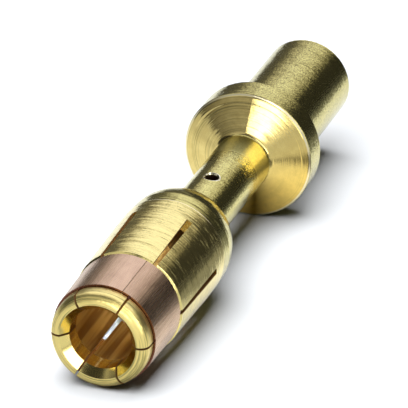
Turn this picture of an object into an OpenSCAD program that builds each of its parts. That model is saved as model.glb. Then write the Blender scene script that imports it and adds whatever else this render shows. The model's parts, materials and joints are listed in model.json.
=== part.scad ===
// Crimp socket contact: a turned and plated body whose front is sawn into spring tines,
// and a rolled sleeve in a groove round the tines that presses them on to the mating pin.
// It lies as it comes to rest on a flat surface, on the rim of its flange and on its front,
// with the socket's mouth towards -X and the crimp barrel's mouth towards +X.

/* [Crimp barrel] */
// Outside diameter of the crimp barrel
barrel_d = 4.3; // [3.8:0.05:5.2]
// Length of the crimp barrel behind the flange
barrel_l = 7.6; // [5:0.1:12]
// Diameter of the bore for the wire's strands
wire_bore_d = 2.9; // [2:0.05:3.3]
// Distance from the end of the bore's full diameter to the flange
wire_bore_stop = 0.4; // [0.2:0.05:1.5]
// Chamfer at the mouth of the wire bore
wire_mouth_chamfer = 0.2; // [0.05:0.05:0.4]

/* [Flange] */
// Diameter of the flange that holds the contact in its insulator
flange_d = 6.25; // [5.8:0.05:8]
// Width of the flange at its rim
flange_w = 1.55; // [1.2:0.05:3]
// Chamfer on the front edge of the rim
rim_chamfer = 0.12; // [0.04:0.01:0.25]
// Rise of the flange's conical front face from the rim to the neck
flange_rise = 0.7; // [0.2:0.05:1.2]
// Radius in the corner between the flange and the neck
neck_root_r = 0.2; // [0.05:0.05:0.5]
// Radius in the corner between the flange and the barrel
barrel_root_r = 0.15; // [0.05:0.05:0.3]

/* [Neck and shoulder] */
// Diameter of the neck between the flange and the body
neck_d = 2.7; // [2.4:0.05:3.4]
// Length of the neck from the flange to the foot of the shoulder
neck_l = 7.04; // [5:0.01:10]
// Radius of the rounded shoulder from the neck to the body
shoulder_r = 3; // [2:0.1:5]
// Radius in the corner between the neck and the shoulder
shoulder_foot_r = 0.5; // [0.1:0.05:0.8]

/* [Vent] */
// Diameter of the vent hole that drains the socket through the neck
vent_d = 0.65; // [0.4:0.05:1]
// Width of the chamfer round the vent hole
vent_chamfer = 0.08; // [0.02:0.01:0.15]
// Distance from the foot of the shoulder to the vent hole
vent_to_shoulder = 2.3; // [1.5:0.1:3]
// Diameter of the drilling that joins the vent hole to the socket
pilot_d = 1.2; // [0.8:0.05:1.6]
// Distance that the drilling runs on past the centre of the vent hole
pilot_past_vent = 0.5; // [0.3:0.05:1]

/* [Body] */
// Diameter of the body
body_d = 5.2; // [4.8:0.05:5.7]
// Length of the band at the rear of the body that is turned a little smaller
band_l = 0.7; // [0.4:0.05:2]
// Depth of that band below the body
band_depth = 0.04; // [0.02:0.01:0.1]
// Length of the body from the band to the front edge
body_l = 5.5; // [4.5:0.1:9]
// Length of the nose in front of the sleeve's groove
nose_l = 0.82; // [0.6:0.02:1.5]
// Height of the nose above the floor of the groove
nose_step = 0.12; // [0.05:0.01:0.25]
// Radius of the nose's outer edge
nose_round_r = 0.42; // [0.2:0.01:0.44]
// Small chamfer on the body's other edges
edge_break = 0.08; // [0.02:0.01:0.12]

/* [Socket] */
// Bore of the socket behind the throat, before the tines are closed
socket_d = 3.9; // [3.6:0.05:4.1]
// Diameter of the throat that grips the pin, with the tines closed
throat_d = 2.9; // [2.7:0.05:3.2]
// Length of the throat's cylindrical land
throat_l = 0.85; // [0.4:0.05:1]
// Diameter of the lead-in for the pin at the mouth
mouth_d = 3.54; // [3.3:0.02:3.64]
// Length of the lead-in from the mouth to the throat
lead_in_l = 0.4; // [0.2:0.05:0.6]
// Angle of the ramp from the socket's bore down to the throat
throat_ramp_angle = 30; // [20:1:60]
// Distance that the socket's bore runs on past the end of the slots
socket_past_slots = 1.4; // [0.5:0.1:2]

/* [Tines] */
// Number of slots
slot_count = 6; // [4:1:8]
// Width of the slots as they are sawn
slot_w = 0.3; // [0.25:0.01:0.4]
// Width that is left of the slots at the mouth when the tines are closed
mouth_gap = 0.1; // [0.05:0.01:0.2]
// Length of the slots
slot_l = 8.3; // [7:0.1:9]
// Distance from the end of the slots to the place where the tines bend inwards
tine_bend = 0.2; // [0.1:0.05:1]
// Angle round the axis from the vent hole to the nearest slot
slot_turn = 25.8; // [0:0.1:60]

/* [Sleeve] */
// Length of the rolled sleeve
sleeve_l = 3; // [2:0.05:4]
// Thickness of the sleeve's sheet
sleeve_t = 0.2; // [0.12:0.01:0.22]
// Depth of the sleeve's outside below the body's outside
sleeve_sink = 0.05; // [0.02:0.01:0.1]
// Clearance between the sleeve and the floor of its groove
sleeve_clearance = 0.02; // [0.01:0.01:0.05]
// Play between each end of the sleeve and its groove
sleeve_play = 0.04; // [0.02:0.01:0.1]
// Gap of the seam where the rolled sheet's ends meet
seam_gap = 0.03; // [0.02:0.01:0.2]
// Angle round the axis from the vent hole to the seam
seam_turn = 16.8; // [0:0.1:360]

/* [Rest] */
// Angle of the vent hole from straight up as the contact lies
lie_turn = 5.5; // [-30:0.5:30]

/* [Hidden] */
$fn = 96;
plating_gold = [0.83, 0.73, 0.44];
sleeve_copper = [0.72, 0.55, 0.46];
// Angle of a twist drill's point
drill_angle = 118;
// Length that cuts run on past a surface
over = 1;
// Arcs are this much larger than the ones that touch their sides, so that they cross them
arc_cross = 1.001;
// Corner pieces reach past their corner by this share of the way to the arc's centre
corner_past = 0.1;

// Radii, those of the tines as they are before the tines are closed
barrel_r = barrel_d / 2;
wire_bore_r = wire_bore_d / 2;
flange_r = flange_d / 2;
neck_r = neck_d / 2;
body_r = body_d / 2;
band_r = body_r - band_depth;
sleeve_r = body_r - sleeve_sink;
groove_r = sleeve_r - sleeve_t - sleeve_clearance;
nose_r = groove_r + nose_step;
socket_r = socket_d / 2;
throat_r = throat_d / 2;
mouth_r = mouth_d / 2;
pilot_r = pilot_d / 2;
drill_slope = tan(drill_angle / 2);
flange_angle = atan(flange_rise / (flange_r - rim_chamfer - neck_r));

// Stations along the axis, from the mouth of the wire bore to the tip of the nose
flange_back = barrel_l;
flange_front = flange_back + flange_w;
rim_front = flange_front - rim_chamfer;
neck_back = flange_front + flange_rise;
shoulder_foot = neck_back + neck_l;
shoulder_top = shoulder_foot + sqrt(shoulder_r ^ 2 - (shoulder_r - band_r + neck_r) ^ 2);
band_front = shoulder_top + band_l;
body_front = band_front + body_l;
sleeve_back = body_front + sleeve_play;
sleeve_front = sleeve_back + sleeve_l;
nose_back = sleeve_front + sleeve_play;
nose_tip = nose_back + nose_l;
slot_root = nose_tip - slot_l;
bend_at = slot_root + tine_bend;
socket_end = slot_root - socket_past_slots;
vent_at = shoulder_foot - vent_to_shoulder;
pilot_end = vent_at - pilot_past_vent;
wire_bore_end = flange_back - wire_bore_stop;

// Closing the tines takes the slots from the saw's width to the gap at the mouth
closing = slot_w - mouth_gap;
lean = slot_count * closing / (2 * PI * (nose_tip - bend_at));
function closed(r, z) = r - lean * max(0, z - bend_at);
function closed_point(r, z) = [closed(r, z), z];

// Centre of an arc that joins both sides of a corner at p, which leave p in the directions a and b
function corner_centre(p, a, b, r) = p + r / sin((b - a) / 2) * [cos((a + b) / 2), sin((a + b) / 2)];

// The shoulder's arc, and the arc at its foot that touches it and the neck
shoulder_centre = [band_r - shoulder_r, shoulder_top];
foot_centre_r = neck_r + shoulder_foot_r;
foot_rise = sqrt((shoulder_r + shoulder_foot_r) ^ 2 - (foot_centre_r - shoulder_centre[0]) ^ 2);
foot_centre = [foot_centre_r, shoulder_top - foot_rise];
foot_to_shoulder = (shoulder_centre - foot_centre) / (shoulder_r + shoulder_foot_r);

// The nose's front corner, the direction of the nose's outside from there, and its rounding
nose_corner = closed_point(nose_r, nose_tip);
nose_side = 270 + atan(lean);
nose_centre = corner_centre(nose_corner, 180, nose_side, nose_round_r);

// The lead-in narrows from the mouth to the throat
throat_front = nose_tip - lead_in_l;
throat_back = throat_front - throat_l;
lead_in_slope = (mouth_r - throat_r) / lead_in_l;

// The ramp starts where the closed bore meets its line
ramp_slope = tan(throat_ramp_angle);
ramp_l = (closed(socket_r, throat_back) - throat_r) / (ramp_slope - lean);
ramp_back = throat_back - ramp_l;

// At rest the front that is reached first by a line from the flange's rim is on the ground
front_edges = [closed_point(body_r, body_front - edge_break), closed_point(sleeve_r, sleeve_front)];
rest_tilt = atan(min([for (edge = front_edges) (flange_r - edge[0]) / (edge[1] - rim_front)]));
rest_height = rim_front * sin(rest_tilt) + flange_r * cos(rest_tilt);
rear_reach = (barrel_r - edge_break) * sin(rest_tilt);
front_reach = nose_centre[1] * cos(rest_tilt) + nose_centre[0] * sin(rest_tilt) + nose_round_r;

// Lays a piece that is drawn along +Z, with the vent hole towards +X, on the ground
module lay_down() {
    translate([(front_reach - rear_reach) / 2, 0, rest_height])
        rotate([0, -90 - rest_tilt, 0])
            rotate([0, 0, -lie_turn])
                children();
}

// The area between a corner at p and an arc that joins both of its sides,
// which leave p in the directions a and b
module corner_arc(p, a, b, r) {
    touch = r / tan((b - a) / 2);
    side_a = p + touch * [cos(a), sin(a)];
    side_b = p + touch * [cos(b), sin(b)];
    centre = corner_centre(p, a, b, r);
    past_corner = p + corner_past * (p - centre);
    difference() {
        polygon([past_corner, side_a, centre, side_b]);
        translate(centre) circle(r * arc_cross);
    }
}

// Half section of the turned contact before it is bored, with its tines closed
module turned_section() {
    difference() {
        union() {
            polygon([
                [0, 0],
                [barrel_r - edge_break, 0],
                [barrel_r, edge_break],
                [barrel_r, flange_back],
                [flange_r - edge_break, flange_back],
                [flange_r, flange_back + edge_break],
                [flange_r, rim_front],
                [flange_r - rim_chamfer, flange_front],
                [neck_r, neck_back],
                [neck_r, shoulder_top],
                [band_r, shoulder_top],
                [band_r, band_front],
                [body_r, band_front + band_depth],
                [body_r, bend_at],
                closed_point(body_r, body_front - edge_break),
                closed_point(body_r - edge_break, body_front),
                closed_point(groove_r, body_front),
                closed_point(groove_r, nose_back),
                closed_point(nose_r, nose_back),
                nose_corner,
                [0, nose_tip]
            ]);
            corner_arc([barrel_r, flange_back], -90, 0, barrel_root_r);
            corner_arc([neck_r, neck_back], -flange_angle, 90, neck_root_r);
            shoulder_section();
        }
        corner_arc(nose_corner, 180, nose_side, nose_round_r);
    }
}

// Half section of the shoulder: the area inside its arc, and the corner at its foot
module shoulder_section() {
    intersection() {
        translate(shoulder_centre) circle(shoulder_r * arc_cross);
        translate([neck_r / 2, foot_centre[1]])
            square([band_r - neck_r / 2, foot_rise + band_l / 2]);
    }
    difference() {
        polygon([
            [neck_r / 2, foot_centre[1]],
            foot_centre,
            foot_centre + 2 * shoulder_foot_r * foot_to_shoulder
        ]);
        translate(foot_centre) circle(shoulder_foot_r * arc_cross);
    }
}

// Half section of the socket's bore and the drilling behind it
module socket_section() {
    polygon([
        [0, pilot_end - pilot_r / drill_slope],
        [pilot_r, pilot_end],
        [pilot_r, socket_end - (socket_r - pilot_r) / drill_slope],
        [socket_r, socket_end],
        [socket_r, bend_at],
        closed_point(socket_r, ramp_back),
        [throat_r, throat_back],
        [throat_r, throat_front],
        [mouth_r + lead_in_slope * over, nose_tip + over],
        [0, nose_tip + over]
    ]);
}

// Half section of the wire's bore, with its drill point and its chamfered mouth
module wire_bore_section() {
    polygon([
        [0, -over],
        [wire_bore_r + wire_mouth_chamfer + over, -over],
        [wire_bore_r, wire_mouth_chamfer],
        [wire_bore_r, wire_bore_end],
        [0, wire_bore_end + wire_bore_r / drill_slope]
    ]);
}

// One slot as the closed tines leave it, cut outwards from the axis
module slot() {
    mouth = nose_tip + over;
    mouth_w = mouth_gap - closing / slot_l * over;
    rotate([90, 0, 90])
        linear_extrude(body_r + over)
            polygon([
                [-slot_w / 2, slot_root],
                [slot_w / 2, slot_root],
                [mouth_w / 2, mouth],
                [-mouth_w / 2, mouth]
            ]);
}

// Vent hole from the drilling to one side of the neck, with a chamfer round its mouth
module vent() {
    translate([0, 0, vent_at])
        rotate([0, 90, 0]) {
            cylinder(d = vent_d, h = neck_r + over);
            translate([0, 0, neck_r - vent_chamfer])
                cylinder(r1 = vent_d / 2, r2 = vent_d / 2 + vent_chamfer + over, h = vent_chamfer + over);
        }
}

module contact_body() {
    color(plating_gold)
        lay_down()
            difference() {
                rotate_extrude() turned_section();
                rotate_extrude() socket_section();
                rotate_extrude() wire_bore_section();
                for (i = [0 : slot_count - 1])
                    rotate([0, 0, i * 360 / slot_count - slot_turn]) slot();
                vent();
            }
}

module spring_sleeve() {
    inner_r = sleeve_r - sleeve_t;
    color(sleeve_copper)
        lay_down()
            difference() {
                rotate_extrude()
                    polygon([
                        closed_point(inner_r, sleeve_back),
                        closed_point(sleeve_r, sleeve_back),
                        closed_point(sleeve_r, sleeve_front),
                        closed_point(inner_r, sleeve_front)
                    ]);
                rotate([0, 0, -seam_turn])
                    translate([0, -seam_gap / 2, sleeve_back - over])
                        cube([body_r + over, seam_gap, sleeve_l + 2 * over]);
            }
}

contact_body();
spring_sleeve();
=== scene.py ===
"""Crimp contact on a white table: finishes of the plated body and the copper sleeve, light and camera."""
import json
import math
from types import SimpleNamespace

import bpy
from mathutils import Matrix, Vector

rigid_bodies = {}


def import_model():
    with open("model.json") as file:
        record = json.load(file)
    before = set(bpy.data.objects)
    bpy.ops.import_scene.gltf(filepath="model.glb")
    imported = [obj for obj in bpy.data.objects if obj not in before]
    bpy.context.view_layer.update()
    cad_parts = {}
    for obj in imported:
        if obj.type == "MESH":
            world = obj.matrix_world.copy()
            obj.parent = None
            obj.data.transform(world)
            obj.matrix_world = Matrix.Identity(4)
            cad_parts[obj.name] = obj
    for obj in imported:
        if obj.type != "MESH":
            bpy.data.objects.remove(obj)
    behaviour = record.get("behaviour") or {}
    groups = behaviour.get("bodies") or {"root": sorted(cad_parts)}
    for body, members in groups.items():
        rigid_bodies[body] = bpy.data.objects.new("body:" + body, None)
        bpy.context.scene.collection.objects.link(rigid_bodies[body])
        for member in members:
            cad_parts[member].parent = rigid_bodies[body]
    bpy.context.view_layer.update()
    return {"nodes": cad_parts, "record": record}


for leftover in list(bpy.data.objects):
    bpy.data.objects.remove(leftover)
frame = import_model()

MM = 0.001
MOUNTS = {mount["name"]: mount for mount in frame["record"]["mounts"]}

# Camera, as the part is seen in the photograph
LENS_MM = 400
SENSOR_MM = 36
CAMERA_HEADING = math.radians(19.195)
CAMERA_DOWN = math.radians(23.382)
CAMERA_DISTANCE = 208 * MM
CAMERA_TARGET = Vector((-0.62, 0.013, 3.128)) * MM
CAMERA_NEAREST = 1 * MM
CAMERA_FARTHEST = 10000 * MM

# Axis of the contact, from the mouth of the wire bore towards the nose
AXIS = Vector(MOUNTS["pin_throat"]["axis"])
WIRE_BORE = MOUNTS["wire_bore"]
WIRE_MOUTH_CHAMFER_MM = 0.2
WIRE_MOUTH = Vector(WIRE_BORE["pos_m"]) - AXIS * (
    WIRE_BORE["dims"]["length_mm"] / 2 + WIRE_MOUTH_CHAMFER_MM) * MM
RIGHT = Vector((0, -1, 0))
UP = AXIS.cross(RIGHT)

# Below, an edge is a limit and its softness, and a span is two limits and the softness of both

# World, as reflections see it: brightness, colours, and edges and spans as sines of angles
WORLD_LEVEL = 0.038
WORLD_SHARE_LATER = 0.1
DOME_LEVEL = 1.27
DOME_LEAN = 0.08
DOME_EDGE = (0.465, 0.17)
DOME_FRONT = (0.1, 0.2)
DOME_LEFT = (0.68, 0.08)
DOME_CORE = (1.0, 1.03, 1.24, 1)
DOME_FLANK = (1.04, 0.95, 0.78, 1)
GLOW_LEVEL = 0.07
GLOW_TOWARD = Vector((0.85, 0.49, 0.20))
GLOW_EDGE = (0.95, 0.045)
WALL_START = (0.25, 0.2)
WALL_TOP = (0.82, 0.06)
LEFT_WALL_LOW = 0.12
LEFT_WALL_HIGH = 0.7
LEFT_WALL_HIGH_AT = 0.75
LEFT_WALL_START = (0.1, 0.12)
LEFT_WALL_END = (0.8, 0.05)
RIGHT_WALL_LEVEL = 1.0
RIGHT_WALL_START = (0.0, 0.1)
CARD_WHITE = (1.0, 1.0, 1.0)
FRONT_CARD_LEVEL = 4.2
FRONT_CARD_TO_LEFT = 0.158
FRONT_CARD_LEFT = (0.0, 0.015)
FRONT_CARD_TO_RIGHT = 0.2
FRONT_CARD_RIGHT = (0.0, 0.08)
FRONT_CARD_TOP = (0.38, 0.04)
RIGHT_CARD_LEVEL = 3.5
RIGHT_CARD_AHEAD = (0.16, 0.46, 0.04)
RIGHT_CARD_UP = (0.12, 0.84, 0.04)
RIGHT_CARD_START = (0.3, 0.04)

# Lamps: brightness of their faces, places and sizes in millimetres, stations along the axis
TABLE_LAMP_LEVEL = 4.26
TABLE_LAMP_AT = (-60, 20, 200)
TABLE_LAMP_AIM = (-60, 20, 0)
TABLE_LAMP_SIZE = (320, 200)
LOW_LAMP_LEVEL = 3.5
LOW_LAMP_AT = (-9.5, 45, 12)
LOW_LAMP_AIM = (-9.5, 0, 0)
LOW_LAMP_SIZE = (4, 10)
LOW_LAMP_SPREAD = math.radians(12)
BORE_LAMP_LEVEL = 5.0
BORE_LAMP_STATION = 20.9
BORE_LAMP_AIM = 0.0
BORE_LAMP_SIZE = (1.5, 1.5)
MOUTH_LAMP_LEVEL = 2.0
MOUTH_LAMP_STATION = 22.3
MOUTH_LAMP_AIM = 29.0
MOUTH_LAMP_SIZE = (2.0, 2.0)

# Table: its colour, how much of it light and reflections meet, and lengths in millimetres
TABLE_HALF = 600
TABLE_COLOUR = (0.945, 0.97, 1.0, 1)
TABLE_BLACK = (0, 0, 0, 1)
TABLE_SHARE = 0.6
TABLE_SHARE_REFLECTED = 0.62
TABLE_SHARE_BEHIND = 0.95
TABLE_SHARE_LATER = 0.25
TABLE_BEHIND = (0.0, 4.0)
# Glow of a strip on the table that only reflections see: painted light
STRIP_GLOW = (0.4, 0.4, 0.4, 1)
STRIP_ACROSS = (-4.6, -1.0, 0.8)
STRIP_ALONG = (-13.0, -0.8, 1.5)

# Black sheet beside the contact, seen only in reflections as painted shade, in millimetres
SHADE_SHEET_HEIGHT = 0.1
SHADE_SHEET_FRONT = -10
SHADE_SHEET_BACK = 200
SHADE_SHEET_LEFT = -3
SHADE_SHEET_RIGHT = -120
SHADE_SHEET_BLACK = (0.02, 0.02, 0.02, 1)
SHADE_SHEET_TURN = 0.14
SHADE_SHEET_NEAR_SHARE = 0.78
SHADE_SHEET_NEAR_EDGE = (5.4, 1.2)
SHADE_SHEET_FAR_SHARE = 0.16
SHADE_SHEET_FAR_EDGE = (12.0, 3.0)
SHADE_SHEET_FRONT_TURN = 0.3
SHADE_SHEET_FRONT_EDGE = (-5.0, 2.5)

# Places on the contact: stations along the axis from the wire mouth and radii, in millimetres
FLANGE_FRONT = 9.15
NECK_BACK = 9.85
VENT_AT = 14.59
VENT_TURN = math.radians(5.5)
SHOULDER_FOOT = 16.9
SOCKET_END = 19.7
BAND_FRONT = 20.0
THROAT_BACK = 28.1
REAR_EDGE = (0.12, 0.04)
FLANGE_EDGE = (9.05, 9.12, 0.02)
FACE_SPAN = (FLANGE_FRONT - 0.1, NECK_BACK + 0.1, 0.04)
RIM_LINE_RADII = (2.71, 2.77, 0.02)
NECK_SPAN = (NECK_BACK, SHOULDER_FOOT, 0.5)
NECK_BLEND = (NECK_BACK - 0.3, 12.0, 1.2)
VENT_SPAN = (VENT_AT - 0.4, VENT_AT + 0.4, 0.04)
VENT_SKIN_RADIUS = (1.28, 0.02)
VENT_RIM_RADII = (0.33, 0.42, 0.02)
UPPER_HALF = (0.0, 0.04)
FOOT_SPAN = (SHOULDER_FOOT - 0.1, SHOULDER_FOOT + 0.5, 0.15)
SHOULDER_SPAN = (SHOULDER_FOOT + 1.4, BAND_FRONT - 0.05, 0.15)
BODY_START = (SHOULDER_FOOT + 0.8, 1.0)
BAND_EDGE = (BAND_FRONT - 0.03, BAND_FRONT + 0.05, 0.02)
# Where the body gold starts; the darker turned gold behind it is the neck's and barrel's own, and on the
# shoulder painted shade
BRIGHT_START = (BAND_FRONT - 0.1, 0.12)
SOCKET_SPAN = (SOCKET_END - 1.2, THROAT_BACK, 0.1)
SOCKET_RADIUS = (1.97, 0.01)
THROAT_EDGE = (THROAT_BACK, 0.1)
NOSE_START = (28.58, 0.02)

# Ways that a surface faces, as parts of its normal
FACING_FRONT = (0.5, 0.2)
FACING_OUT = (-0.3, 0.2)
FACING_ACROSS = (0.5, 0.2)

# Gold plating, as linear colours
BODY_GOLD = (0.89, 0.75, 0.28, 1)
TURNED_GOLD = (0.70, 0.62, 0.21, 1)
FACE_GOLD = (0.76, 0.61, 0.23, 1)
# Deeper gold painted low on the flange's face as a reflection of the gold below it
FACE_PAINTED_REFLECTION = (0.88, 0.62, 0.15, 1)
FACE_STAIN = (0.50, 0.36, 0.10, 1)
NOSE_GOLD = (0.93, 0.76, 0.27, 1)
MARK_OLIVE = (0.18, 0.16, 0.05, 1)
DULL_OLIVE = (0.42, 0.37, 0.14, 1)
# Cream of the painted highlights on edges
HIGHLIGHT_CREAM = (0.95, 0.88, 0.62, 1)
BORE_BROWN = (0.44, 0.26, 0.07, 1)
BORE_GOLD = (0.97, 0.70, 0.24, 1)
SLOT_BROWN = (0.36, 0.19, 0.06, 1)
# Near-black inside the vent hole: painted shade
VENT_PAINTED_SHADE = (0.10, 0.05, 0.025, 1)

# Turning marks: marks per millimetre along the axis, their length round it, noise detail and seed,
# and the edges above which some of them show in the colour
STREAKS = (9.0, 1.6, 3.0, 0.0)
ROWS = (26.0, 6.0, 1.0, 7.0)
DEEP_CUTS = (9.0, 0.9, 2.0, 23.0)
FACE_RINGS = (11.0, 7.0, 3.0, 31.0)
NOSE_BRUSHING = (10.0, 2.5, 3.0, 41.0)
DULL_PATCHES = (8.0, 0.8, 2.0, 61.0)
DEEP_CUT_EDGE = (0.3, 0.3)
FACE_RING_EDGE = (0.3, 0.25)
NOSE_BRUSHING_EDGE = (0.15, 0.2)
DULL_EDGE = (0.48, 0.3)

# Grain, speckle and mottle of the gold: marks per millimetre, noise detail, and the edges of the spots
GRAIN_PER_MM = 14.0
GRAIN_DETAIL = 1.0
SPECKLE_PER_MM = 16.0
SPECKLE_DETAIL = 2.0
SPECKLE_EDGE = (0.54, 0.12)
MOTTLE_PER_MM = 2.2
MOTTLE_DETAIL = 4.0
MOTTLE_EDGE = (0.5, 0.16)

# Bands along the socket's wall: bands per millimetre across the axis, their length along it, noise detail
# and seed, and the edge of the bright ones
BORE_BANDS = (2.2, 12.0, 2.0, 51.0)
BORE_BAND_EDGE = (0.05, 0.25)

# The flange's face shows its rings most at its upper left, where their olive is painted shade, and is deeper
# in colour at its lower right as a painted reflection
RINGS_AND_SHADE_LEAST = 0.25
RINGS_AND_SHADE_EDGE = (0.6, 1.6)
LOW_TO_RIGHT = 0.5
LOW_EDGE = (1.0, 1.6)

# How strongly each place shows a mark, as slopes of the surface
STREAK_SLOPES = {"flank": 0.08, "rear": 0.04, "ring": 0.06, "face": 0.02}
ROW_SLOPES = {"flank": 0.05, "rear": 0.02, "ring": 0.05, "face": 0.05}
DEEP_CUT_SLOPES = {"flank": 0.27, "rear": 0.10}
FACE_RING_SLOPE = 0.06
NOSE_BRUSHING_SLOPE = 0.14
EDGE_SLOPES = {"band_edge": 0.3, "shoulder": -0.035, "rear_edge": 0.2, "rim_line": 0.14, "flange_edge": 0.35}
GRAIN_SLOPES = {"plain": 0.04, "rear": 0.07, "ring": 0.07}
GRAIN_OFF_FACE = 0.8

# How much of a mark's colour each place shows
# At the shoulder's foot the olive is painted shade in the crease
FOOT_PAINTED_SHADE = 0.6
SPECKLE_MARKED = 0.6
SPECKLE_OFF_NECK = 0.35
DEEP_CUTS_MARKED = 0.15
FACE_RINGS_MARKED = 0.5
NOSE_BRUSHING_MARKED = 0.6
FACE_STAINED = 0.3
DULL_MARKED = 0.5
# The flange's front edge shows a painted highlight
FLANGE_EDGE_HIGHLIGHT = 0.7

# Roughness, and how far each place is from bare metal
GOLD_ROUGHNESS = {
    "body": 0.14, "rear": 0.13, "blended": 0.2, "inner": 0.2, "ring": 0.2, "sawn": 0.3, "vent": 0.3}
GOLD_MATT = {"inner": 0.55, "sawn": 0.4, "dull": 0.35}

# Copper sheet: linear colours, and marks per millimetre across the axis, their length along it, noise
# detail and seed
COPPER = (0.68, 0.46, 0.29, 1)
DULL_COPPER = (0.45, 0.28, 0.18, 1)
CUT_COPPER = (0.20, 0.085, 0.055, 1)
COPPER_BRUSHING = (10.0, 3.0, 3.0, 0.0)
COPPER_BRUSHING_SLOPE = 0.05
COPPER_FINE = (30.0, 6.0, 1.0, 4.0)
COPPER_FINE_SLOPE = 0.07
COPPER_STAINS = (1.3, 1.6, 3.0, 11.0)
COPPER_STAIN_EDGE = (0.25, 0.6)
COPPER_STAINED = 0.6
COPPER_ROUGHNESS = 0.27
COPPER_ROUGHNESS_SPREAD = 0.05

# Noise nodes give 0 to 1; marks are drawn out to about -1 to 1
NOISE_ROUGHNESS = 0.6
NOISE_MIDDLE = 0.5
NOISE_SPREAD = 3.0


class Value:
    """What a node gives. Arithmetic on numbers adds Math nodes."""

    def __init__(self, tree, socket):
        self.tree = tree
        self.socket = socket

    def math(self, operation, *others):
        return math_node(self.tree, operation, self, *others)

    def __add__(self, other):
        return self.math("ADD", other)

    def __radd__(self, other):
        return math_node(self.tree, "ADD", other, self)

    def __sub__(self, other):
        return self.math("SUBTRACT", other)

    def __rsub__(self, other):
        return math_node(self.tree, "SUBTRACT", other, self)

    def __mul__(self, other):
        return self.math("MULTIPLY", other)

    def __rmul__(self, other):
        return math_node(self.tree, "MULTIPLY", other, self)

    def __truediv__(self, other):
        return self.math("DIVIDE", other)


def put(tree, socket, value):
    """Links a socket to a value, or sets it."""
    if isinstance(value, Value):
        tree.links.new(value.socket, socket)
    else:
        socket.default_value = value


def math_node(tree, operation, *operands):
    node = tree.nodes.new("ShaderNodeMath")
    node.operation = operation
    for place, operand in enumerate(operands):
        put(tree, node.inputs[place], operand)
    return Value(tree, node.outputs[0])


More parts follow.
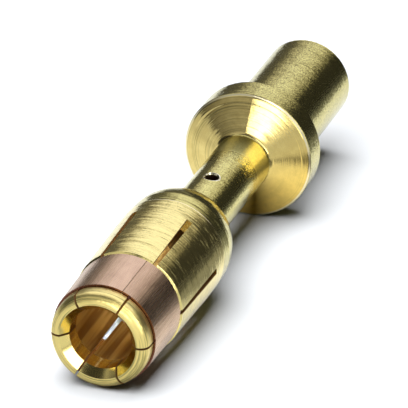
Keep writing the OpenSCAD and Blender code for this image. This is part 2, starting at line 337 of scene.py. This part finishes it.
class Finish:
    """The nodes of a material or a world, with the contact's own coordinates."""

    def __init__(self, owner):
        self.owner = owner
        owner.use_nodes = True
        self.tree = owner.node_tree
        self.tree.nodes.clear()

    def node(self, kind, settings=None, sockets=None, output=0):
        """Adds a node: its settings first, then its sockets' values or links."""
        node = self.tree.nodes.new("ShaderNode" + kind)
        for name, value in (settings or {}).items():
            setattr(node, name, value)
        for name, value in (sockets or {}).items():
            put(self.tree, node.inputs[name], value)
        return Value(self.tree, node.outputs[output]) if len(node.outputs) else node

    def vector(self, operation, first, second, output=0):
        return self.node("VectorMath", {"operation": operation}, {0: first, 1: second}, output)

    def scaled(self, vector, factor):
        return self.node("VectorMath", {"operation": "SCALE"}, {0: vector, "Scale": factor})

    def unit(self, vector):
        return self.node("VectorMath", {"operation": "NORMALIZE"}, {0: vector})

    def place(self):
        """Station along the axis and radius in millimetres, and the directions round a point."""
        from_mouth = self.vector("SUBTRACT", self.node("TexCoord", output="Object"), WIRE_MOUTH)
        self.station = self.vector("DOT_PRODUCT", from_mouth, AXIS / MM, "Value")
        self.rise = self.vector("DOT_PRODUCT", from_mouth, UP / MM, "Value")
        self.side = self.vector("DOT_PRODUCT", from_mouth, RIGHT / MM, "Value")
        self.radius = (self.rise * self.rise + self.side * self.side).math("SQRT")
        self.around = self.node("CombineXYZ", {}, {"X": self.station, "Y": self.rise, "Z": self.side})
        from_axis = self.vector("ADD", self.scaled(UP, self.rise), self.scaled(RIGHT, self.side))
        self.outward = self.unit(from_axis)
        self.normal = self.node("NewGeometry", output="Normal")
        self.facing = self.vector("DOT_PRODUCT", self.normal, AXIS, "Value")
        self.outside = self.vector("DOT_PRODUCT", self.normal, self.outward, "Value")
        self.along = self.vector(
            "SUBTRACT", self.scaled(AXIS, self.outside), self.scaled(self.outward, self.facing))
        self.across = self.vector("CROSS_PRODUCT", AXIS, self.outward)

    def on_table(self):
        """How far backward and leftward a point of the table lies, in millimetres."""
        place = self.scaled(self.node("TexCoord", output="Object"), 1 / MM)
        return [self.node("SeparateXYZ", {}, {"Vector": place}, axis) for axis in "XY"]

    def early_light(self, share_later):
        """1 on light paths that have met no matt surface yet, and a share on later ones."""
        later = self.node("LightPath", output="Diffuse Depth").math("MINIMUM", 1.0)
        return 1.0 - (1.0 - share_later) * later

    def noise(self, vector, detail, output=0):
        return self.node("TexNoise", {}, {
            "Vector": vector, "Scale": 1.0, "Detail": detail, "Roughness": NOISE_ROUGHNESS}, output)

    def turned(self, per_mm, length_mm, detail, seed):
        """Noise drawn out round the axis, as a tool leaves it, about -1 to 1."""
        marks = self.node("CombineXYZ", {}, {
            "X": (self.station - self.radius) * per_mm + seed,
            "Y": self.rise / length_mm,
            "Z": self.side / length_mm})
        return (self.noise(marks, detail) - NOISE_MIDDLE) * NOISE_SPREAD

    def drawn(self, per_mm, length_mm, detail, seed):
        """Noise drawn out along the axis, about -1 to 1."""
        marks = self.node("CombineXYZ", {}, {
            "X": self.station / length_mm + seed,
            "Y": self.rise * per_mm,
            "Z": self.side * per_mm})
        return (self.noise(marks, detail) - NOISE_MIDDLE) * NOISE_SPREAD

    def grain(self, per_mm, detail):
        """Noise directions for a finely pitted surface, each part about -1 to 1."""
        colour = self.noise(self.scaled(self.around, per_mm), detail, "Color")
        return self.scaled(self.vector("SUBTRACT", colour, (NOISE_MIDDLE,) * 3), NOISE_SPREAD)

    def tilted(self, *tilts):
        """The normal with tilts added, each a direction and a slope."""
        total = self.normal
        for direction, slope in tilts:
            total = self.vector("ADD", total, self.scaled(direction, slope))
        return self.unit(total)

    def above(self, value, limit, soft):
        """1 where a value is above a limit, with a soft edge."""
        return self.node("MapRange", {"interpolation_type": "SMOOTHSTEP"}, {
            "Value": value, "From Min": limit - soft, "From Max": limit + soft})

    def below(self, value, limit, soft):
        return 1.0 - self.above(value, limit, soft)

    def between(self, value, low, high, soft):
        """1 where a value lies between two limits, with soft ends."""
        return self.above(value, low, soft) * self.below(value, high, soft)

    def mixed(self, factor, first, second):
        """A colour between two colours."""
        return self.node("Mix", {"data_type": "RGBA"}, {"Factor": factor, "A": first, "B": second}, "Result")

    def surface(self, shader):
        self.node("OutputMaterial", {}, {"Surface": shader})


def summed(at, weights):
    """The sum of the masks that the weights name, each times its weight."""
    first, *others = [weight * getattr(at, name) for name, weight in weights.items()]
    return sum(others, first)


def gold_places(finish):
    """Masks of the body's places, each 1 on its place and 0 elsewhere."""
    at = SimpleNamespace()
    station = finish.station
    front = finish.above(finish.facing, *FACING_FRONT)
    inward = finish.below(finish.outside, *FACING_OUT)
    socket = finish.between(station, *SOCKET_SPAN) * finish.below(finish.radius, *SOCKET_RADIUS)
    at.inner = socket.math("MAXIMUM", inward * finish.below(station, *THROAT_EDGE))
    at.outer = 1.0 - at.inner
    at.sawn = finish.below(
        finish.facing.math("ABSOLUTE") + finish.outside.math("ABSOLUTE"), *FACING_ACROSS)
    at.body = finish.above(station, *BODY_START) * at.outer
    at.rear = (1.0 - at.body) * at.outer
    at.nose = finish.above(station, *NOSE_START)
    at.flank = at.body * (1.0 - at.nose)
    lead_in = at.nose * inward
    at.ring = at.nose * (1.0 - lead_in)
    at.plain = at.body * (1.0 - lead_in)
    at.face = front * finish.between(station, *FACE_SPAN)
    # Rings of the flange's face, strongest at the upper left, where their colour is painted shade
    at.scored = at.face * (
        RINGS_AND_SHADE_LEAST + (1.0 - RINGS_AND_SHADE_LEAST) * finish.above(finish.rise - finish.side, *RINGS_AND_SHADE_EDGE))
    at.rim_line = at.face * finish.between(finish.radius, *RIM_LINE_RADII)
    at.flange_edge = finish.between(station, *FLANGE_EDGE) * at.outer
    at.rear_edge = finish.below(station, *REAR_EDGE)
    at.neck = finish.between(station, *NECK_SPAN)
    at.blended = finish.between(station, *NECK_BLEND) * (1.0 - at.face) * at.outer
    at.vent = finish.between(station, *VENT_SPAN) * finish.below(finish.radius, *VENT_SKIN_RADIUS)
    before_vent = station - VENT_AT
    beside_vent = math.cos(VENT_TURN) * finish.side - math.sin(VENT_TURN) * finish.rise
    from_vent = (before_vent * before_vent + beside_vent * beside_vent).math("SQRT")
    # The vent's rim, its upper half only, which gets a painted highlight
    at.vent_rim = finish.between(from_vent, *VENT_RIM_RADII) * finish.above(finish.rise, *UPPER_HALF)
    at.foot = finish.between(station, *FOOT_SPAN)
    at.shoulder = finish.between(station, *SHOULDER_SPAN)
    at.band_edge = finish.between(station, *BAND_EDGE)
    at.dull = at.flank * finish.above(finish.turned(*DULL_PATCHES), *DULL_EDGE)
    return at


def gold_marks(finish):
    """The marks that the tools left on the body, each about -1 to 1."""
    return SimpleNamespace(
        streaks=finish.turned(*STREAKS),
        rows=finish.turned(*ROWS),
        deep=finish.turned(*DEEP_CUTS),
        rings=finish.turned(*FACE_RINGS),
        brushed=finish.turned(*NOSE_BRUSHING),
    )


def gold_normal(finish, at, marks):
    """The body's surface with its marks, edges and grain."""
    deep_cuts = (1.0 - at.face) * marks.deep * marks.deep * marks.deep
    slope = summed(at, STREAK_SLOPES) * marks.streaks \
        + summed(at, ROW_SLOPES) * marks.rows \
        + summed(at, DEEP_CUT_SLOPES) * deep_cuts \
        + FACE_RING_SLOPE * at.scored * marks.rings \
        + NOSE_BRUSHING_SLOPE * at.ring * marks.brushed \
        + summed(at, EDGE_SLOPES)
    grain_slope = summed(at, GRAIN_SLOPES) * (1.0 - GRAIN_OFF_FACE * at.face)
    return finish.tilted((finish.along, slope), (finish.grain(GRAIN_PER_MM, GRAIN_DETAIL), grain_slope))


def gold_colour(finish, at, marks):
    """The plating's colour: each place's own gold, then its marks, bores, cuts and edges, with painted shade,
    a painted reflection and painted highlights on edges.
    """
    speckle = finish.above(
        finish.noise(finish.scaled(finish.around, SPECKLE_PER_MM), SPECKLE_DETAIL), *SPECKLE_EDGE)
    mottle = finish.above(
        finish.noise(finish.scaled(finish.around, MOTTLE_PER_MM), MOTTLE_DETAIL), *MOTTLE_EDGE)
    # Lower right of the flange's face, which gets a painted reflection
    low = finish.above(LOW_TO_RIGHT * finish.side - finish.rise, *LOW_EDGE)
    banded = finish.above(finish.drawn(*BORE_BANDS), *BORE_BAND_EDGE)
    # Olive of the tools' marks, and at the shoulder's foot painted shade
    marks_and_foot_shade = FOOT_PAINTED_SHADE * at.foot \
        + (SPECKLE_MARKED - SPECKLE_OFF_NECK * at.neck) * at.rear * (1.0 - at.face) * speckle \
        + DEEP_CUTS_MARKED * at.flank * finish.above(marks.deep, *DEEP_CUT_EDGE) \
        + FACE_RINGS_MARKED * at.scored * finish.above(marks.rings, *FACE_RING_EDGE) \
        + NOSE_BRUSHING_MARKED * at.ring * finish.above(marks.brushed, *NOSE_BRUSHING_EDGE)
    # Painted highlights: cream on the vent's rim, the flange's front edge and the band's edge
    painted_highlights = at.vent_rim + FLANGE_EDGE_HIGHLIGHT * at.flange_edge + at.band_edge * at.outer
    # Turned gold behind the band, body gold in front; on the shoulder the turned gold is painted shade
    colour = finish.mixed(finish.above(finish.station, *BRIGHT_START), TURNED_GOLD, BODY_GOLD)
    for share, layer in (
        (at.nose, NOSE_GOLD),
        (at.face, finish.mixed(low, FACE_GOLD, FACE_PAINTED_REFLECTION)),
        (FACE_STAINED * at.face * mottle, FACE_STAIN),
        (marks_and_foot_shade, MARK_OLIVE),
        (DULL_MARKED * at.dull, DULL_OLIVE),
        (at.inner, finish.mixed(banded, BORE_BROWN, BORE_GOLD)),
        (at.sawn, SLOT_BROWN),
        (painted_highlights, HIGHLIGHT_CREAM),
        (at.vent, VENT_PAINTED_SHADE),
    ):
        colour = finish.mixed(share, colour, layer)
    return colour


def gold_finish():
    """Pale gold plating over turning marks that differ from place to place."""
    finish = Finish(bpy.data.materials.new("gold_plating"))
    finish.place()
    at = gold_places(finish)
    marks = gold_marks(finish)
    finish.surface(finish.node("BsdfPrincipled", {}, {
        "Base Color": gold_colour(finish, at, marks),
        "Metallic": 1.0 - summed(at, GOLD_MATT),
        "Roughness": summed(at, GOLD_ROUGHNESS),
        "Normal": gold_normal(finish, at, marks)}))
    return finish.owner


def copper_finish():
    """Rolled copper sheet, brushed along the axis, with a fresh cut at its front edge."""
    finish = Finish(bpy.data.materials.new("copper_sheet"))
    finish.place()
    brushed = finish.drawn(*COPPER_BRUSHING)
    fine = finish.drawn(*COPPER_FINE)
    stained = finish.above(finish.drawn(*COPPER_STAINS), *COPPER_STAIN_EDGE)
    cut = finish.above(finish.facing, *FACING_FRONT)
    colour = finish.mixed(COPPER_STAINED * stained, COPPER, DULL_COPPER)
    slope = COPPER_BRUSHING_SLOPE * brushed + COPPER_FINE_SLOPE * fine
    finish.surface(finish.node("BsdfPrincipled", {}, {
        "Base Color": finish.mixed(cut, colour, CUT_COPPER),
        "Metallic": 1.0,
        "Roughness": COPPER_ROUGHNESS + COPPER_ROUGHNESS_SPREAD * brushed,
        "Normal": finish.tilted((finish.across, slope))}))
    return finish.owner


def add_camera():
    forward = Vector((
        math.cos(CAMERA_DOWN) * math.cos(CAMERA_HEADING),
        math.cos(CAMERA_DOWN) * math.sin(CAMERA_HEADING),
        -math.sin(CAMERA_DOWN),
    ))
    data = bpy.data.cameras.new("camera")
    data.lens = LENS_MM
    data.sensor_width = SENSOR_MM
    data.clip_start = CAMERA_NEAREST
    data.clip_end = CAMERA_FARTHEST
    camera = bpy.data.objects.new("camera", data)
    camera.location = CAMERA_TARGET - forward * CAMERA_DISTANCE
    camera.rotation_euler = forward.to_track_quat("-Z", "Y").to_euler()
    bpy.context.scene.collection.objects.link(camera)
    bpy.context.scene.camera = camera


def add_world():
    """What the metal reflects: a soft dome overhead and behind with a faint glow beside it, walls to the
    front left and right, a bright card in front and one to the right, and the rest dark. Lamps light
    the table."""
    sky = Finish(bpy.data.worlds.new("studio"))
    direction = sky.node("TexCoord", output="Generated")
    backward, leftward, upward = [sky.node("SeparateXYZ", {}, {"Vector": direction}, axis) for axis in "XYZ"]
    frontward = -1.0 * backward
    rightward = -1.0 * leftward
    dome = sky.above(upward + DOME_LEAN * leftward, *DOME_EDGE) \
        * sky.above(backward, *DOME_FRONT) * sky.below(leftward, *DOME_LEFT)
    toward_glow = sky.vector("DOT_PRODUCT", direction, GLOW_TOWARD.normalized(), "Value")
    glow = sky.above(toward_glow, *GLOW_EDGE) * (1.0 - dome)
    walls = sky.above(frontward, *WALL_START)
    below_top = sky.below(upward, *WALL_TOP)
    left_wall = (LEFT_WALL_LOW + (LEFT_WALL_HIGH - LEFT_WALL_LOW) / LEFT_WALL_HIGH_AT * upward) * below_top \
        * sky.above(leftward, *LEFT_WALL_START) * sky.below(leftward, *LEFT_WALL_END)
    right_wall = RIGHT_WALL_LEVEL * below_top * sky.above(rightward, *RIGHT_WALL_START)
    front_card = walls * sky.below(upward, *FRONT_CARD_TOP) \
        * sky.above(rightward + FRONT_CARD_TO_LEFT * frontward, *FRONT_CARD_LEFT) \
        * sky.below(rightward - FRONT_CARD_TO_RIGHT * frontward, *FRONT_CARD_RIGHT)
    right_card = sky.between(frontward, *RIGHT_CARD_AHEAD) * sky.between(upward, *RIGHT_CARD_UP) \
        * sky.above(rightward, *RIGHT_CARD_START)
    overhead = (DOME_LEVEL - WORLD_LEVEL) * dome + GLOW_LEVEL * glow
    white = WORLD_LEVEL + walls * (left_wall + right_wall) \
        + FRONT_CARD_LEVEL * front_card + RIGHT_CARD_LEVEL * right_card
    early = sky.early_light(WORLD_SHARE_LATER)
    colour = sky.vector(
        "ADD",
        sky.scaled(sky.mixed(dome, DOME_FLANK, DOME_CORE), overhead * early),
        sky.scaled(CARD_WHITE, white * early))
    sky.node("OutputWorld", {}, {"Surface": sky.node("Background", {}, {"Color": colour, "Strength": 1.0})})
    sky.owner.cycles_visibility.diffuse = False
    bpy.context.scene.world = sky.owner


def flat_piece(name, front, back, right, left, height, finish):
    """A flat stage piece with one finish; its sides and height are in millimetres."""
    corners = [(front, right, height), (back, right, height), (back, left, height), (front, left, height)]
    mesh = bpy.data.meshes.new(name)
    mesh.from_pydata([Vector(corner) * MM for corner in corners], [], [(0, 1, 2, 3)])
    mesh.materials.append(finish.owner)
    piece = bpy.data.objects.new(name, mesh)
    bpy.context.scene.collection.objects.link(piece)
    return piece


def add_table():
    """A pale table that the camera sees as white, with the contact's shadow on it. Reflections show it
    dimmer in front than behind, and a glowing strip on it close beside the body, which is painted light."""
    finish = Finish(bpy.data.materials.new("table_white"))
    seen = finish.node("LightPath", output="Is Camera Ray")
    mirrored = finish.node("LightPath", output="Is Glossy Ray")
    backward, leftward = finish.on_table()
    early = finish.early_light(TABLE_SHARE_LATER)
    behind = finish.above(backward, *TABLE_BEHIND)
    reflected = (TABLE_SHARE_REFLECTED + (TABLE_SHARE_BEHIND - TABLE_SHARE_REFLECTED) * behind) * early
    share = TABLE_SHARE + (1.0 - TABLE_SHARE) * seen + (reflected - TABLE_SHARE) * mirrored
    glow_strip = finish.between(leftward, *STRIP_ACROSS) * finish.between(backward, *STRIP_ALONG)
    finish.surface(finish.node("BsdfPrincipled", {}, {
        "Base Color": finish.mixed(share, TABLE_BLACK, TABLE_COLOUR),
        "Roughness": 1.0,
        "Specular IOR Level": 0.0,
        "Emission Color": finish.mixed(glow_strip * mirrored * early, TABLE_BLACK, STRIP_GLOW),
        "Emission Strength": 1.0}))
    finish.owner.cycles.emission_sampling = "NONE"
    flat_piece("table", -TABLE_HALF, TABLE_HALF, -TABLE_HALF, TABLE_HALF, 0, finish)


def add_painted_shade_sheet():
    """A black sheet on the table to the right, with a faded edge, that only reflections show, as painted
    shade in the metal.
    """
    finish = Finish(bpy.data.materials.new("cloth_black"))
    backward, leftward = finish.on_table()
    away = -1.0 * leftward - SHADE_SHEET_TURN * backward
    spread = SHADE_SHEET_NEAR_SHARE * finish.above(away, *SHADE_SHEET_NEAR_EDGE) \
        + SHADE_SHEET_FAR_SHARE * finish.above(away, *SHADE_SHEET_FAR_EDGE)
    dark = spread * finish.above(backward + SHADE_SHEET_FRONT_TURN * leftward, *SHADE_SHEET_FRONT_EDGE)
    black = finish.node("BsdfDiffuse", {}, {"Color": SHADE_SHEET_BLACK})
    clear = finish.node("BsdfTransparent")
    finish.surface(finish.node("MixShader", {}, {0: dark, 1: clear, 2: black}))
    shade_sheet = flat_piece(
        "dark_cloth", SHADE_SHEET_FRONT, SHADE_SHEET_BACK, SHADE_SHEET_RIGHT, SHADE_SHEET_LEFT, SHADE_SHEET_HEIGHT, finish)
    shade_sheet.visible_camera = False
    shade_sheet.visible_diffuse = False
    shade_sheet.visible_shadow = False


def area_lamp(name, place, aim, size, radiance):
    """A soft lamp, not mirrored in the metal, with the radiance of its face; lengths in millimetres."""
    data = bpy.data.lights.new(name, "AREA")
    data.shape = "RECTANGLE"
    data.size, data.size_y = (side * MM for side in size)
    data.energy = radiance * math.pi * data.size * data.size_y
    lamp = bpy.data.objects.new(name, data)
    lamp.location = Vector(place) * MM
    lamp.rotation_euler = (Vector(aim) - Vector(place)).to_track_quat("-Z", "Y").to_euler()
    lamp.visible_glossy = False
    bpy.context.scene.collection.objects.link(lamp)
    return lamp


def on_axis(station):
    """The axis's point at a station, in millimetres."""
    return WIRE_MOUTH / MM + AXIS * station


def add_lamps():
    """A large lamp over the table, a narrow low one for the table seen through the lower slot, and two in
    the socket that stand for the light that bounces about in it."""
    area_lamp("table_lamp", TABLE_LAMP_AT, TABLE_LAMP_AIM, TABLE_LAMP_SIZE, TABLE_LAMP_LEVEL)
    low_lamp = area_lamp("low_lamp", LOW_LAMP_AT, LOW_LAMP_AIM, LOW_LAMP_SIZE, LOW_LAMP_LEVEL)
    low_lamp.data.spread = LOW_LAMP_SPREAD
    bore_lamp = area_lamp(
        "bore_lamp", on_axis(BORE_LAMP_STATION), on_axis(BORE_LAMP_AIM), BORE_LAMP_SIZE, BORE_LAMP_LEVEL)
    bore_lamp.visible_camera = False
    mouth_lamp = area_lamp(
        "mouth_lamp", on_axis(MOUTH_LAMP_STATION), on_axis(MOUTH_LAMP_AIM), MOUTH_LAMP_SIZE, MOUTH_LAMP_LEVEL)
    mouth_lamp.visible_camera = False


bpy.context.scene.view_settings.view_transform = "Standard"
add_camera()
add_world()
add_table()
add_painted_shade_sheet()
add_lamps()
frame["nodes"]["contact_body"].material_slots[0].material = gold_finish()
frame["nodes"]["spring_sleeve"].material_slots[0].material = copper_finish()
